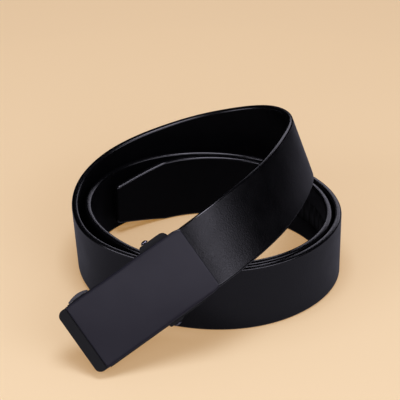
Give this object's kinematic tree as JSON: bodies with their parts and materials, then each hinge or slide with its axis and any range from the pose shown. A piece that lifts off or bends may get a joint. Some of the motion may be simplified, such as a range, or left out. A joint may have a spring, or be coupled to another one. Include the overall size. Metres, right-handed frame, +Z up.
{
  "type": "ratchet belt",
  "caption": "Man's leather ratchet belt, coiled on its edge, with a hinged clamp on the strap and a sprung ratchet lever behind a plain face plate.",
  "frame": {"origin": "middle of the footprint, at the level of the table that the coil stands on", "axes": "+Z up, along the width of the coiled strap; the front of the coil, with the buckle, faces -Y, and the buckle leans towards -X"},
  "size_m": [0.1402, 0.1728, 0.0725],
  "materials": {
    "leather": "satin black, fine grain, painted edges",
    "track": "matt black moulded",
    "frame_paint": "satin dark grey paint on die-cast zinc",
    "plate_paint": "matt gunmetal paint on die-cast zinc",
    "steel": "dark plated"
  },
  "bodies": {
    "belt": {"strap": "leather", "ratchet_track": "track", "buckle_frame": "frame_paint", "face_plate": "plate_paint", "clamp_pin": "steel", "lever_pin": "steel"},
    "clamp": {"strap_clamp": "frame_paint"},
    "lever": {"ratchet_lever": "steel"}
  },
  "joints": [
    {"name": "clamp_hinge", "type": "hinge", "parent": "belt", "child": "clamp", "pos_m": [-0.01708, -0.05372, 0.03601], "axis": [-0.5817, 0.4395, 0.6844], "range_deg": [0, 35]},
    {"name": "lever_hinge", "type": "hinge", "parent": "belt", "child": "lever", "pos_m": [-0.02456, -0.05683, 0.03165], "axis": [0.5817, -0.4395, -0.6844], "range_deg": [0, 8], "stiffness_Nm_per_rad": 0.03, "springref_deg": -57.3}
  ]
}
